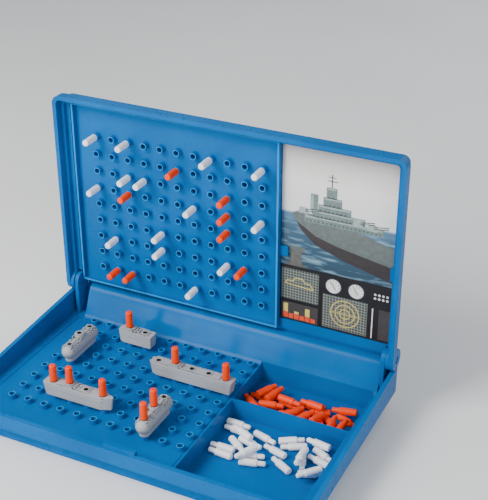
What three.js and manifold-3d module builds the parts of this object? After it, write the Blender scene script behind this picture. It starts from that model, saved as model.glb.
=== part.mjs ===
// Fleet guessing case: a hinged plastic clamshell with an ocean grid in the base, a target
// grid in the lid, two peg trays, five ships, pegs and a printed display card.
// Millimetres, +Z up, X along the hinge. The origin is the centre of the base's underside.
import * as THREE from "three";
import { mergeVertices } from "three/addons/utils/BufferGeometryUtils.js";
import Module from "manifold-3d";

const wasm = await Module();
wasm.setup();

// ---- Driving dimensions -------------------------------------------------------------
const PITCH = 10.5; // hole to hole, on both grids
const COLUMNS = 11;
const ROWS = 9;
const GAP = 0.3; // between pieces that rest against each other

const WIDTH = 210; // the case, along the hinge
const DEPTH = 128; // the base, front to back
const WALL = 2.6;
const THIN = 1.6; // the base's bottom and its inner walls
const CORNER = 5; // plan radius of the case's corners

const DECK_Z = 13; // top of the deck and of the tray dividers
const DECK_THICK = 2.2;
const LEDGE = 1.2; // what the ocean panel rests on
const BAND_Z = DECK_Z - THIN; // underside of the base's outer band
const RIM_FRONT_Z = 20; // the base's rim rises from the front
const RIM_HINGE_Z = 27; // to the hinge
const SIDE_INSET = 7.8; // the tub below the band is narrower than the band
const FRONT_INSET = 6.5;

const CATCH = 9.3; // half the length of the lip that holds the lid shut

const HINGE_Y = 57.1;
const HINGE_Z = 33.7;
const LUG_RADIUS = 6.3; // round lower ends of the lid's sides
const EAR_RADIUS = 5.6;
const EAR_THICK = 2.4;
const EAR_TOP = HINGE_Z + EAR_RADIUS + 1;
const PIN_RADIUS = 2;

const LID_RIM_Y = 50.7; // front plane of the open lid's rim
const LID_STEP_Y = 56.3; // the lid's outer band ends here and its narrower body starts
const LID_BACK_Y = 63.3;
const LID_STEP = 2.3;
const LID_TOP_Z = 154.6;
const PLATE = 1.4; // thickness of the lid's back

const BOSS_HEIGHT = 3;
const BOSS_RADIUS = 2.5;
const HOLE_RADIUS = 1.7;
const HOLE_SIDES = 6;
const PEG_SIDES = 6;

const PEG_STEM = 3.9; // the thin end that goes into a hole
const PEG_HEAD = 10.2; // the thick end that stands out
const PEG_RADIUS = 2.1;
const STEM_RADIUS = 1.2;

const SHIP_HEIGHT = 7.9;
const HALF_BEAM = 3.6;
const SUB_HEIGHT = 9.8;
const SUB_RADIUS = 4.2;
const SUB_END = 5.2; // from the last hole to the tip
const SHIP_PIN = 4; // how far a ship's pins reach below it

// ---- Places worked out from them ----------------------------------------------------
const HALF_WIDTH = WIDTH / 2;
const FRONT = -DEPTH / 2;
const REAR = DEPTH / 2;
const FIRST_COLUMN_X = -7.8 * PITCH;
const FAR_ROW_Y = 43.9; // the ocean grid's row nearest the hinge
const LOW_ROW_Z = 46.7; // the target grid's bottom row
const BOSS_TIP_Z = DECK_Z + BOSS_HEIGHT;
const TARGET_TIP_Y = 57; // front of the target grid's bosses
const PANEL_LIP = 1.2; // raised border of the target panel

const RIB_Z = EAR_TOP + GAP; // the target panel's left edge stops at a rib above the ear
const TUB_SIDE = HALF_WIDTH - SIDE_INSET;
const TUB_FRONT = FRONT + FRONT_INSET;
const DIVIDER_X = FIRST_COLUMN_X + (COLUMNS - 1) * PITCH + BOSS_RADIUS + GAP;
const TRAY_LEFT = DIVIDER_X + THIN;
const TRAY_RIGHT = TUB_SIDE - THIN;
const TRAY_FRONT = TUB_FRONT + THIN;
const CROSS_Y = 10.8; // front face of the wall between the trays
const TRAY_REAR = 49.2;
const ORANGE_HEAP = [CROSS_Y + THIN, 38]; // front and rear of each tray's spare pegs
const WHITE_HEAP = [-26, CROSS_Y - 4];
const RAMP_FOOT = 46.8; // the deck turns up into the hinge ramp
const RAMP_TOP = 58;
const RAMP_HEIGHT = 18;
const RAMP_LEFT = -92;
const RAMP_ROOM = [52, 58.5, 28.5]; // the ramp's hollow: its front, its back's y and its top
const EAR_OUTER = HALF_WIDTH - WALL - LID_STEP - GAP;

const BLOCK_LEFT = -97;
const BLOCK_RIGHT = 33; // the target panel ends and the card begins
const BLOCK_BOTTOM = 34.4;
const INNER_TOP = LID_TOP_Z - LID_STEP - WALL;
const CARD_BOTTOM = 40;
const CARD_TOP = INNER_TOP - 1.2; // clear of the lid's inner corner
const CARD_THICK = 0.6;
const TAB_Z = 84; // the card's tabs are half way up it
const TAB_HALF = 3; // half the length of a tab
const SKIRT_DROP = 2.3; // how far the lid's back reaches below the hinge axis
const POCKET_DROP = 6; // and beside the left ear, where the ramp ends
const EAR_CLEARANCE = 0.6;

const BLUE = new THREE.Color(0x0078c8);
const ORANGE = new THREE.Color(0xff5a28);
const WHITE = new THREE.Color(0xf2f2f2);
const GREY = new THREE.Color(0xb0b0ae);
const CARD = new THREE.Color(0x6f8894);

const columnX = (i) => FIRST_COLUMN_X + i * PITCH;
const oceanY = (k) => FAR_ROW_Y - k * PITCH;
const targetZ = (k) => LOW_ROW_Z + k * PITCH;

// Height of the base's sloping rim at a given depth.
function rimZ(y) {
  const rise = (RIM_HINGE_Z - RIM_FRONT_Z) / (HINGE_Y - FRONT);
  return RIM_FRONT_Z + rise * (y - FRONT);
}

// ---- Solids -------------------------------------------------------------------------
function solid(geometry) {
  const bare = geometry.clone();
  bare.deleteAttribute("normal");
  bare.deleteAttribute("uv");
  const merged = mergeVertices(bare, 1e-4);
  return new wasm.Manifold(
    new wasm.Mesh({
      numProp: 3,
      vertProperties: new Float32Array(merged.attributes.position.array),
      triVerts: new Uint32Array(merged.index.array),
    }),
  );
}

function geometryOf(manifold) {
  const { vertProperties, triVerts } = manifold.getMesh();
  const geometry = new THREE.BufferGeometry();
  geometry.setAttribute("position", new THREE.BufferAttribute(vertProperties, 3));
  geometry.setIndex(new THREE.BufferAttribute(triVerts, 1));
  const faceted = geometry.toNonIndexed();
  faceted.computeVertexNormals();
  return faceted;
}

function block(x0, x1, y0, y1, z0, z1) {
  const box = new THREE.BoxGeometry(x1 - x0, y1 - y0, z1 - z0);
  return solid(box.translate((x0 + x1) / 2, (y0 + y1) / 2, (z0 + z1) / 2));
}

function polygon(points) {
  return new THREE.Shape(points.map(([x, y]) => new THREE.Vector2(x, y)));
}

// A rectangle with round corners.
function roundedPlan(x0, x1, y0, y1, r) {
  const shape = new THREE.Shape();
  shape.absarc(x1 - r, y0 + r, r, -Math.PI / 2, 0);
  shape.absarc(x1 - r, y1 - r, r, 0, Math.PI / 2);
  shape.absarc(x0 + r, y1 - r, r, Math.PI / 2, Math.PI);
  shape.absarc(x0 + r, y0 + r, r, Math.PI, 1.5 * Math.PI);
  return shape;
}

// A rectangle standing on its lower edge, with only its top corners round.
function arch(halfWidth, bottom, top, r) {
  const shape = new THREE.Shape();
  shape.moveTo(-halfWidth, bottom);
  shape.lineTo(halfWidth, bottom);
  shape.absarc(halfWidth - r, top - r, r, 0, Math.PI / 2);
  shape.absarc(r - halfWidth, top - r, r, Math.PI / 2, Math.PI);
  return shape;
}

// An outline in X and Y, raised from z0 to z1.
function raised(shape, z0, z1, curveSegments = 4) {
  const options = { depth: z1 - z0, bevelEnabled: false, curveSegments };
  return solid(new THREE.ExtrudeGeometry(shape, options).translate(0, 0, z0));
}

// An outline in X and Z, carried from y0 to y1.
function upright(shape, y0, y1, curveSegments = 4) {
  const options = { depth: y1 - y0, bevelEnabled: false, curveSegments };
  const geometry = new THREE.ExtrudeGeometry(shape, options);
  return solid(geometry.rotateX(Math.PI / 2).translate(0, y1, 0));
}

// An outline in Y and Z, carried from x0 to x1.
function lengthwise(shape, x0, x1) {
  const options = { depth: x1 - x0, bevelEnabled: false };
  const geometry = new THREE.ExtrudeGeometry(shape, options);
  geometry.rotateX(Math.PI / 2).rotateZ(Math.PI / 2);
  return solid(geometry.translate(x0, 0, 0));
}

// A round bar along the hinge axis.
function hingeBar(radius, x0, x1, sides = 16) {
  const bar = new THREE.CylinderGeometry(radius, radius, x1 - x0, sides);
  return solid(bar.rotateZ(Math.PI / 2).translate((x0 + x1) / 2, HINGE_Y, HINGE_Z));
}

// A prism or cone along Z.
function post(topRadius, bottomRadius, x, y, z0, z1, sides = HOLE_SIDES) {
  const bar = new THREE.CylinderGeometry(topRadius, bottomRadius, z1 - z0, sides);
  return solid(bar.rotateX(Math.PI / 2).translate(x, y, (z0 + z1) / 2));
}

const joined = (solids) => solids.reduce((all, piece) => all.add(piece));

// ---- Base ---------------------------------------------------------------------------
// The ramp from the deck up to the hinge: flat at its foot and top, steep between.
function rampOutline() {
  const steps = 8;
  const points = [[RAMP_FOOT, BAND_Z]];
  for (let i = 0; i <= steps; i++) {
    const rise = (1 - Math.cos((Math.PI * i) / steps)) / 2;
    const y = RAMP_FOOT + ((RAMP_TOP - RAMP_FOOT) * i) / steps;
    points.push([y, DECK_Z + RAMP_HEIGHT * rise]);
  }
  points.push([REAR, DECK_Z + RAMP_HEIGHT], [REAR, BAND_Z]);
  return polygon(points);
}

// The ramp is hollow from below.
function rampHollow() {
  const back = REAR - WALL;
  const [front, steepEnd, top] = RAMP_ROOM;
  const outline = [[front, -1], [front, DECK_Z], [steepEnd, top], [back, top], [back, -1]];
  return lengthwise(polygon(outline), RAMP_LEFT + WALL, TUB_SIDE - WALL);
}

// An upright with a round top that holds one hinge pin.
function ear(side) {
  const x = [side * EAR_OUTER, side * (EAR_OUTER - EAR_THICK)].sort((a, b) => a - b);
  const stem = block(...x, HINGE_Y - EAR_RADIUS, HINGE_Y + EAR_RADIUS, BAND_Z, HINGE_Z);
  const bore = hingeBar(PIN_RADIUS + GAP, x[0] - 1, x[1] + 1, 12);
  return stem.add(hingeBar(EAR_RADIUS, ...x)).subtract(bore);
}

function baseTray() {
  const high = RIM_HINGE_Z + 13; // above everything that is cut to the sloping rim
  const band = raised(roundedPlan(-HALF_WIDTH, HALF_WIDTH, FRONT, REAR, CORNER), BAND_Z, high);
  const tub = raised(
    roundedPlan(-TUB_SIDE, TUB_SIDE, TUB_FRONT, REAR - SIDE_INSET, CORNER - 1),
    0,
    DECK_Z - 0.5,
  );
  const inside = raised(
    roundedPlan(WALL - HALF_WIDTH, HALF_WIDTH - WALL, FRONT + WALL, REAR - WALL, CORNER - WALL),
    DECK_Z,
    high + 1,
  );
  const beyond = 10;
  const aboveRim = [
    [FRONT - beyond, rimZ(FRONT - beyond)],
    [REAR + beyond, rimZ(REAR + beyond)],
    [REAR + beyond, high + 1],
    [FRONT - beyond, high + 1],
  ];
  const walls = band
    .add(tub)
    .subtract(inside)
    .subtract(lengthwise(polygon(aboveRim), -HALF_WIDTH - 1, HALF_WIDTH + 1));
  const ramp = lengthwise(rampOutline(), RAMP_LEFT, EAR_OUTER - EAR_THICK + 0.1);
  const catchFront = FRONT + 1.5;
  const catchTop = RIM_FRONT_Z + 1.8;
  const catchLip = block(-CATCH, CATCH, catchFront, catchFront + 2.7, DECK_Z - 0.5, catchTop);
  const seatZ = DECK_Z - DECK_THICK - GAP;
  const panelSeat = block(THIN - TUB_SIDE, DIVIDER_X, TRAY_FRONT, RAMP_FOOT, seatZ, high);
  const underPanel = block(
    THIN + LEDGE - TUB_SIDE,
    DIVIDER_X - LEDGE,
    TRAY_FRONT + LEDGE,
    RAMP_FOOT - LEDGE,
    THIN,
    DECK_Z,
  );
  const rearTray = block(TRAY_LEFT, TRAY_RIGHT, CROSS_Y + THIN, TRAY_REAR, THIN, high);
  const frontTray = block(TRAY_LEFT, TRAY_RIGHT, TRAY_FRONT, CROSS_Y, THIN, high);
  return joined([walls, ramp, ear(-1), ear(1), catchLip])
    .subtract(joined([panelSeat, underPanel, rearTray, frontTray]))
    .subtract(rampHollow());
}

// ---- Grid panels --------------------------------------------------------------------
// A flat plate with a tubular boss round every hole. y is the place of the first row.
function withBosses(plate, y, plateTop) {
  const centres = [];
  for (let i = 0; i < COLUMNS; i++) {
    for (let k = 0; k < ROWS; k++) centres.push([columnX(i), y + k * PITCH]);
  }
  const tip = plateTop + BOSS_HEIGHT;
  const low = plateTop - 3;
  const bosses = centres.map((at) => post(BOSS_RADIUS, BOSS_RADIUS, ...at, plateTop - 0.5, tip));
  const holes = centres.map((at) => post(HOLE_RADIUS, HOLE_RADIUS, ...at, low, tip + 1));
  return plate.add(joined(bosses)).subtract(joined(holes));
}

function oceanPanel() {
  const left = THIN + GAP - TUB_SIDE;
  const right = DIVIDER_X - GAP;
  const plate = block(left, right, TRAY_FRONT + GAP, RAMP_FOOT - GAP, DECK_Z - DECK_THICK, DECK_Z);
  return withBosses(plate, oceanY(ROWS - 1), DECK_Z);
}

// Made lying on its back, with Y up the lid and Z out of its face.
function targetPanel() {
  const tip = -TARGET_TIP_Y;
  const face = tip - BOSS_HEIGHT;
  const top = INNER_TOP - GAP;
  const slab = block(BLOCK_LEFT, BLOCK_RIGHT, BLOCK_BOTTOM, top, face - THIN + 0.1, tip);
  const field = block(
    BLOCK_LEFT + PANEL_LIP,
    BLOCK_RIGHT - PANEL_LIP,
    BLOCK_BOTTOM + PANEL_LIP,
    top - PANEL_LIP,
    face,
    tip + 1,
  );
  const tab = block(
    BLOCK_RIGHT - PANEL_LIP,
    BLOCK_RIGHT + 5,
    TAB_Z - TAB_HALF,
    TAB_Z + TAB_HALF,
    face - 0.6,
    face + 0.6,
  );
  return withBosses(slab.subtract(field), LOW_ROW_Z, face).add(tab);
}

// ---- Lid ----------------------------------------------------------------------------
function lidShell() {
  const low = HINGE_Z;
  const bodyHalf = HALF_WIDTH - LID_STEP;
  const bodyTop = LID_TOP_Z - LID_STEP;
  const web = LID_STEP_Y - THIN;
  const band = upright(arch(HALF_WIDTH, low, LID_TOP_Z, CORNER), LID_RIM_Y, LID_STEP_Y);
  const body = upright(arch(bodyHalf, low, bodyTop, CORNER - 1), web, LID_BACK_Y);
  const bandHollow = upright(
    arch(HALF_WIDTH - WALL, low - 9, LID_TOP_Z - WALL, CORNER - WALL),
    LID_RIM_Y - 1,
    web,
  );
  const bodyHollow = upright(
    arch(bodyHalf - WALL, low - 9, bodyTop - WALL, 2),
    web - 1,
    LID_BACK_Y - PLATE,
  );
  const betweenEars = EAR_OUTER - EAR_THICK - 2 * GAP;
  const inner = bodyHalf - WALL;
  const backFace = LID_BACK_Y - PLATE;
  const skirt = block(-betweenEars, betweenEars, backFace, LID_BACK_Y, low - SKIRT_DROP, low + 1);
  const pocketBack = block(
    -betweenEars,
    RAMP_LEFT - GAP,
    backFace,
    LID_BACK_Y,
    low - POCKET_DROP,
    low + 1,
  );
  const lugs = [-1, 1].map((side) => {
    const x = [side * inner, side * HALF_WIDTH].sort((a, b) => a - b);
    return hingeBar(LUG_RADIUS, ...x, 20);
  });
  const earRooms = [-1, 1].map((side) => {
    const x = [side * EAR_OUTER + side * GAP, side * (EAR_OUTER - EAR_THICK - GAP)];
    return hingeBar(EAR_RADIUS + EAR_CLEARANCE, ...x.sort((a, b) => a - b), 20);
  });
  const bore = hingeBar(PIN_RADIUS + GAP, -HALF_WIDTH - 1, HALF_WIDTH + 1, 12);
  const sillTop = CARD_BOTTOM - GAP;
  const sill = block(BLOCK_RIGHT + GAP, inner + 1, backFace - 1.5, LID_BACK_Y - 1, low, sillTop);
  const cardFront = backFace - GAP - CARD_THICK;
  const tabFront = cardFront - GAP - 1.2;
  const tab = block(inner - 3, inner + 1, tabFront, tabFront + 1.2, TAB_Z - 4, TAB_Z + 4);
  const rib = block(-inner - 1, BLOCK_LEFT - GAP, TARGET_TIP_Y, LID_BACK_Y - 1, RIB_Z, INNER_TOP);
  return joined([band, body])
    .subtract(bandHollow)
    .subtract(bodyHollow)
    .add(joined([skirt, pocketBack, sill, tab, rib, ...lugs]))
    .subtract(joined([...earRooms, bore]));
}

function displayCard() {
  const right = HALF_WIDTH - LID_STEP - WALL - GAP;
  const front = LID_BACK_Y - PLATE - GAP - CARD_THICK;
  return block(BLOCK_RIGHT + GAP, right, front, front + CARD_THICK, CARD_BOTTOM, CARD_TOP);
}

// ---- Ships --------------------------------------------------------------------------
// Each ship lies along its own X, its first hole at the origin, its underside at z = 0,
// and stands on two pins that drop into the bosses' holes. tops gives how far the rim of
// each hole stands above the ship's deck.
function drilled(hull, deck, tops) {
  const last = tops.length - 1;
  const pins = [0, last].map((i) => post(STEM_RADIUS, 0.8, i * PITCH, 0, -SHIP_PIN, 0.5));
  const bores = tops.map((rise, i) => {
    const top = deck + rise;
    return post(HOLE_RADIUS, HOLE_RADIUS, i * PITCH, 0, top - PEG_STEM - GAP, top + 1);
  });
  return hull.add(joined(pins)).subtract(joined(bores));
}

// A straight-sided hull. Each end is [x, length of its taper, half width at the tip].
// The ends and the houses below are given from the ship's first hole.
function hull([x0, taper0, tip0], [x1, taper1, tip1]) {
  const upper = [
    [x0, tip0],
    [x0 + taper0, HALF_BEAM],
    [x1 - taper1, HALF_BEAM],
    [x1, tip1],
  ];
  const lower = upper.map(([x, y]) => [x, -y]).reverse();
  return raised(polygon([...upper, ...lower]), 0, SHIP_HEIGHT);
}

const house = (x0, x1, halfWidth, height) =>
  block(x0, x1, -halfWidth, halfWidth, SHIP_HEIGHT - 0.5, SHIP_HEIGHT + height);

function patrolBoat(tops) {
  const body = joined([
    hull([-6.3, 2.5, 2.2], [PITCH + 5.4, 0.4, 3.3]),
    house(-2.8, 3.2, 2.8, tops[0]),
    house(3, 5, 2.4, 0.9),
    house(PITCH - 2.6, PITCH + 2.6, 2.5, tops[1]),
  ]);
  return drilled(body, SHIP_HEIGHT, tops);
}

function carrier(tops) {
  const last = 4 * PITCH;
  const body = joined([
    hull([-4.8, 3, 2.2], [last + 4.8, 0.4, 3.3]),
    house(-2.6, last - 3, 2.9, tops[2]),
    house(PITCH - 2.8, PITCH + 3, 2.6, tops[1]),
    house(PITCH + 2.8, PITCH + 4.6, 2.2, 1.2),
  ]);
  return drilled(body, SHIP_HEIGHT, tops);
}

function battleship(tops) {
  const last = 3 * PITCH;
  const body = joined([
    hull([-5.2, 1.5, 2.8], [last + 6.2, 6.4, 0.8]),
    house(2.8, 2 * PITCH + 2.8, 2.8, tops[2]),
    house(PITCH - 2.9, PITCH + 2.8, 2.6, tops[1]),
    house(PITCH + 2.6, PITCH + 4.8, 2.2, 1.3),
  ]);
  return drilled(body, SHIP_HEIGHT, tops);
}

// A round hull with round ends on a narrow keel, and a conning tower round its middle hole.
function submarine(tops) {
  const straight = 2 * PITCH + 2 * (SUB_END - SUB_RADIUS);
  const axisZ = SUB_HEIGHT - SUB_RADIUS;
  const round = new THREE.CapsuleGeometry(SUB_RADIUS, straight, 5, 24);
  const body = solid(round.rotateZ(Math.PI / 2).translate(PITCH, 0, axisZ));
  const keelRadius = 3;
  const keelPlan = new THREE.Shape();
  keelPlan.absarc(2 * PITCH, 0, keelRadius, -Math.PI / 2, Math.PI / 2);
  keelPlan.absarc(0, 0, keelRadius, Math.PI / 2, 1.5 * Math.PI);
  const keel = raised(keelPlan, 0, axisZ, 6);
  const tower = post(2.9, 3.2, PITCH, 0, SUB_HEIGHT - 2, SUB_HEIGHT + tops[1], 12);
  return drilled(joined([body, keel, tower]), SUB_HEIGHT, tops);
}

// ---- Pegs ---------------------------------------------------------------------------
// Upright, with the underside of its head just clear of the surface at z = 0.
function pegGeometry() {
  const profile = [
    [0, -PEG_STEM],
    [STEM_RADIUS, -PEG_STEM],
    [STEM_RADIUS, GAP],
    [PEG_RADIUS, GAP],
    [PEG_RADIUS, PEG_HEAD - 1.2],
    [PEG_RADIUS * 0.55, PEG_HEAD],
    [0, PEG_HEAD],
  ];
  const points = profile.map(([r, h]) => new THREE.Vector2(r, h));
  const lathe = new THREE.LatheGeometry(points, PEG_SIDES).rotateX(Math.PI / 2);
  return geometryOf(solid(lathe));
}

// ---- Assembly -----------------------------------------------------------------------
const part = new THREE.Group();

function material(color, roughness = 0.35) {
  return new THREE.MeshStandardMaterial({ color, roughness, metalness: 0 });
}

function place(parent, name, geometry, color, roughness) {
  const mesh = new THREE.Mesh(geometry, material(color, roughness));
  mesh.name = name;
  parent.add(mesh);
  return mesh;
}

place(part, "base_tray", geometryOf(baseTray()), BLUE);
place(part, "ocean_grid_panel", geometryOf(oceanPanel()), BLUE);
place(part, "lid_shell", geometryOf(lidShell()), BLUE);
place(part, "target_grid_panel", geometryOf(targetPanel()), BLUE).rotation.x = Math.PI / 2;
place(part, "display_card", geometryOf(displayCard()), CARD, 0.5);

const pinEnd = HALF_WIDTH - GAP;
const pinStart = EAR_OUTER - EAR_THICK - 0.2;
place(part, "hinge_pin_left", geometryOf(hingeBar(PIN_RADIUS, -pinEnd, -pinStart, 12)), BLUE);
place(part, "hinge_pin_right", geometryOf(hingeBar(PIN_RADIUS, pinStart, pinEnd, 12)), BLUE);

const PEG = pegGeometry();
const number = (n) => String(n).padStart(2, "0");

// Pegs in the target grid, as [column, row] with row 0 at the bottom.
const WHITE_MARKS = [
  [0, 8], [2, 8], [7, 8], [10, 8], [2, 6], [3, 6], [0, 5],
  [6, 5], [10, 5], [4, 3], [1, 2], [4, 2], [8, 2], [6, 0],
];
const ORANGE_MARKS = [[5, 7], [8, 6], [2, 5], [8, 5], [8, 4], [9, 2], [1, 0], [2, 0]];

function markPegs(marks, label, color) {
  marks.forEach(([i, k], n) => {
    const peg = place(part, `target_peg_${label}_${number(n + 1)}`, PEG, color);
    peg.rotation.x = Math.PI / 2;
    peg.position.set(columnX(i), TARGET_TIP_Y, targetZ(k));
  });
}
markPegs(WHITE_MARKS, "white", WHITE);
markPegs(ORANGE_MARKS, "orange", ORANGE);

// Ships on the ocean grid: the first hole's column and row, and the holes that hold a peg.
// The surface ships lie along the rows and the submarines across them.
const SURFACE_FLEET = [
  { name: "patrol_boat", make: patrolBoat, at: [3, 1], tops: [1.6, 0.4], pegs: [0] },
  { name: "carrier", make: carrier, at: [6, 3], tops: [0, 1.6, 0.5, 0.5, 0], pegs: [1, 4] },
  { name: "battleship", make: battleship, at: [2, 7], tops: [0, 1.8, 0.4, 0], pegs: [0, 1, 3] },
];
const SUBMARINES = [
  { name: "submarine_left", make: submarine, at: [1, 4], tops: [0, 1.6, 0], pegs: [] },
  { name: "submarine_right", make: submarine, at: [8, 8], tops: [0, 1.6, 0], pegs: [0, 1] },
];

function moor({ name, make, at, tops, pegs }, deck, heading) {
  const berth = new THREE.Group();
  berth.position.set(columnX(at[0]), oceanY(at[1]), BOSS_TIP_Z + GAP);
  berth.rotation.z = heading;
  part.add(berth);
  place(berth, name, geometryOf(make(tops)), GREY, 0.45);
  pegs.forEach((hole, n) => {
    const peg = place(berth, `${name}_peg_${n + 1}`, PEG, ORANGE);
    peg.position.set(hole * PITCH, 0, deck + tops[hole]);
  });
}
SURFACE_FLEET.forEach((ship) => moor(ship, SHIP_HEIGHT, 0));
SUBMARINES.forEach((ship) => moor(ship, SUB_HEIGHT, Math.PI / 2));

// Spare pegs lying on the tray floors, one to a cell, each turned a little differently.
function loosePegs(label, color, count, across, y0, y1) {
  const cellX = (TRAY_RIGHT - TRAY_LEFT) / across;
  const cellY = (y1 - y0) / Math.ceil(count / across);
  const middle = (PEG_HEAD - PEG_STEM) / 2;
  for (let n = 0; n < count; n++) {
    const holder = new THREE.Group();
    const x = TRAY_LEFT + cellX * ((n % across) + 0.5);
    const y = y0 + cellY * (Math.floor(n / across) + 0.5);
    holder.position.set(x, y, THIN + GAP + PEG_RADIUS);
    holder.rotation.z = 0.5 * Math.sin(2.4 * n) + (n % 2) * Math.PI;
    part.add(holder);
    const peg = place(holder, `loose_peg_${label}_${number(n + 1)}`, PEG, color);
    peg.rotation.y = Math.PI / 2;
    peg.position.x = -middle;
  }
}
loosePegs("orange", ORANGE, 8, 4, ...ORANGE_HEAP);
loosePegs("white", WHITE, 8, 4, ...WHITE_HEAP);

export default part;
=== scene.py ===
"""Looks for the fleet guessing case: an open blue clamshell with two peg grids, grey ships,
orange and white pegs, two peg trays and a display card. Metres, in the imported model's frame."""

import math
import random

import bmesh
import bpy
from mathutils import Matrix, Vector


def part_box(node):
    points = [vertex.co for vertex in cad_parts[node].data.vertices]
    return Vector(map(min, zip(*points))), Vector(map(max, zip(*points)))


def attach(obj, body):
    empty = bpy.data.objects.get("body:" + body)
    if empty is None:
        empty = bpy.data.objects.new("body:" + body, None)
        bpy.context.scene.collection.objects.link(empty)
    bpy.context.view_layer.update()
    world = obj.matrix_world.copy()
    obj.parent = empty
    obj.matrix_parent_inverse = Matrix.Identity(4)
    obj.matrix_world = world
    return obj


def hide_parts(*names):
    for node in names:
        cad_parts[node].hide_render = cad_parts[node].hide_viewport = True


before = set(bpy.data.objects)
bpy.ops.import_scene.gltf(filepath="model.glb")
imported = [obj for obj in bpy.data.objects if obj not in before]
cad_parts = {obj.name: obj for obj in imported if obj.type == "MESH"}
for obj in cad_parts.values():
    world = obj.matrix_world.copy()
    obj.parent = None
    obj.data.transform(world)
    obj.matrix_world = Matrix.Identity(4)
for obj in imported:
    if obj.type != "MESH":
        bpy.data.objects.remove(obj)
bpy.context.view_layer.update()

MM = 0.001
HOLES_APART = 10.5
PITCH = HOLES_APART * MM
COLUMNS = 11
ROWS = 9
FIRST_COLUMN_X = -81.9 * MM
FAR_ROW_Y = 43.9 * MM
LOW_ROW_Z = 46.7 * MM
BOSS_RADIUS = 2.25 * MM
BOSS_HEIGHT = 3 * MM
HOLE_RADIUS = 1.5 * MM
AROUND = 32
PEG_RADIUS = 2.1 * MM
PEG_HEAD = 10.2 * MM
PEG_STEM = 3.9 * MM
PEG_LENGTH = 14.1 * MM
STEM_RADIUS = 1.4 * MM
TRAY_FLOOR_Z = 1.6 * MM
JOINED = 2e-6
LEVEL = 1e-6


# ---- Materials ----------------------------------------------------------------------
ALL = (1, 1, 1, 1)
NONE = (0, 0, 0, 1)

# Scales of the plastics' textures, which are laid out in metres.
DRIFT_SCALE = 28
GLOSS_SCALE = 160
GRAIN_SCALE = 900
RIB_SCALE = 190.0

GRAIN_DEPTH = 0.0004
RIB_STRENGTH = 4.0
RIB_STRETCH = (0.12, 1, 1)
PLASTIC_IOR = 1.45
SCATTER = (0.0016, 0.0012, 0.001)


def srgb(*screen):
    """A bright colour given as 0 to 255 screen values, in linear light."""
    return (*(((c / 255 + 0.055) / 1.055) ** 2.4 for c in screen), 1.0)


class Nodes:
    """A new node material with the little sums that the materials below share. A value is
    another node's output, a number, a vector or a colour."""

    def __init__(self, name):
        self.material = bpy.data.materials.new(name)
        self.material.use_nodes = True
        self.tree = self.material.node_tree
        self.shader = self.tree.nodes["Principled BSDF"]
        self.place = self.add("ShaderNodeTexCoord", {}).outputs["Object"]

    def feed(self, socket, value):
        if isinstance(value, bpy.types.NodeSocket):
            self.tree.links.new(value, socket)
        else:
            socket.default_value = value

    def add(self, kind, values, **settings):
        node = self.tree.nodes.new(kind)
        for key, setting in settings.items():
            setattr(node, key, setting)
        for name, value in values.items():
            self.feed(node.inputs[name], value)
        return node

    def surface(self, values):
        """Feeds the shader's own sockets."""
        for name, value in values.items():
            self.feed(self.shader.inputs[name], value)

    def formula(self, operation, *values):
        node = self.add("ShaderNodeMath", {}, operation=operation)
        for socket, value in zip(node.inputs, values):
            self.feed(socket, value)
        return node.outputs[0]

    def along(self, axis, place=None):
        """One coordinate of a place, which is the surface point's unless given."""
        parts = self.add("ShaderNodeSeparateXYZ", {"Vector": place or self.place})
        return parts.outputs[axis]

    def scaled(self, factors):
        mapping = self.add("ShaderNodeMapping", {"Vector": self.place, "Scale": factors})
        return mapping.outputs["Vector"]

    def noise(self, scale, detail, factors=None):
        place = self.scaled(factors) if factors else self.place
        values = {"Vector": place, "Scale": scale, "Detail": detail}
        return self.add("ShaderNodeTexNoise", values).outputs["Fac"]

    def ramp(self, source, *stops):
        node = self.add("ShaderNodeValToRGB", {"Fac": source})
        elements = node.color_ramp.elements
        elements[0].position, elements[0].color = stops[0]
        elements[1].position, elements[1].color = stops[-1]
        for position, color in stops[1:-1]:
            elements.new(position).color = color
        return node.outputs["Color"]

    def spread(self, source, low=0.0, high=1.0, start=0.0, stop=1.0):
        """Runs from low to high while the source runs from start to stop."""
        values = {
            "Value": source, "From Min": start, "From Max": stop, "To Min": low, "To Max": high,
        }
        return self.add("ShaderNodeMapRange", values).outputs["Result"]

    def blend(self, kind, one, other, amount=1.0):
        """Two colours put together by a blend of this kind."""
        values = {"Factor": amount, "A": one, "B": other}
        node = self.add("ShaderNodeMix", values, data_type="RGBA", blend_type=kind)
        return node.outputs["Result"]

    def crevices(self, distance):
        """1 in the open, falling towards 0 in corners narrower than this distance."""
        node = self.add("ShaderNodeAmbientOcclusion", {"Distance": distance}, samples=8)
        return node.outputs["AO"]

    def ribs(self, relief, top):
        """A relief with fine ribs along X added to it below a height."""
        values = {
            "Vector": self.scaled(RIB_STRETCH),
            "Scale": RIB_SCALE,
            "Distortion": 2.5,
            "Detail": 2.0,
        }
        wave = self.add("ShaderNodeTexWave", values, bands_direction="Y").outputs["Fac"]
        low = self.formula("LESS_THAN", self.along("Z"), top)
        return self.formula("MULTIPLY_ADD", self.formula("MULTIPLY", wave, low), RIB_STRENGTH, relief)

    def bump(self, height, strength, distance):
        values = {"Height": height, "Strength": strength, "Distance": distance}
        self.surface({"Normal": self.add("ShaderNodeBump", values).outputs["Normal"]})


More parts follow.
